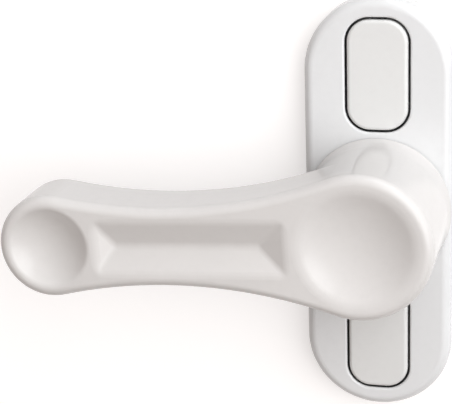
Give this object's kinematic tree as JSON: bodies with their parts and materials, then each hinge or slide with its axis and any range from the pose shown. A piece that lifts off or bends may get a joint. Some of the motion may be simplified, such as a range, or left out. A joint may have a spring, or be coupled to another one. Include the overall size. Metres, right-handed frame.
{
  "type": "child safety window lock",
  "caption": "White window lock: a screwed obround base plate with snap caps over its screws, and a bone-shaped handle that turns on a flared drum to block the sash.",
  "frame": {"origin": "centre of the base plate's back face, on the axis that the handle turns about", "axes": "+Z leaves the front along the handle's axis, +Y runs along the base plate, and the handle points along -X"},
  "size_m": [0.0805, 0.08, 0.03],
  "materials": {
    "white_paint": "satin white powder coat",
    "cap_plastic": "satin moulded plastic",
    "bearing_plastic": "natural acetal",
    "rubber": "matte",
    "steel": "bright zinc plated"
  },
  "bodies": {
    "base": {"base_plate": "white_paint", "spindle_bush": "bearing_plastic", "hub_o_ring": "rubber", "friction_washer": "bearing_plastic", "stop_pin_a": "steel", "stop_pin_b": "steel"},
    "handle_body": {"handle": "white_paint", "spindle": "steel", "stop_cam": "steel", "disc_spring_front": "steel", "disc_spring_back": "steel", "back_washer": "steel", "retaining_ring": "steel", "buffer_pad": "rubber", "pad_washer": "steel", "pad_screw": "steel"},
    "upper_cap": {"upper_screw_cap": "cap_plastic"},
    "lower_cap": {"lower_screw_cap": "cap_plastic"}
  },
  "joints": [
    {"name": "handle_turn", "type": "hinge", "parent": "base", "child": "handle_body", "pos_m": [0, 0, 0], "axis": [0, 0, 1], "range_deg": [-92.5, 87.5]},
    {"name": "upper_cap_lift", "type": "slide", "parent": "base", "child": "upper_cap", "axis": [0, 0, 1], "range_m": [0, 0.004]},
    {"name": "lower_cap_lift", "type": "slide", "parent": "base", "child": "lower_cap", "axis": [0, 0, 1], "range_m": [0, 0.004]}
  ]
}
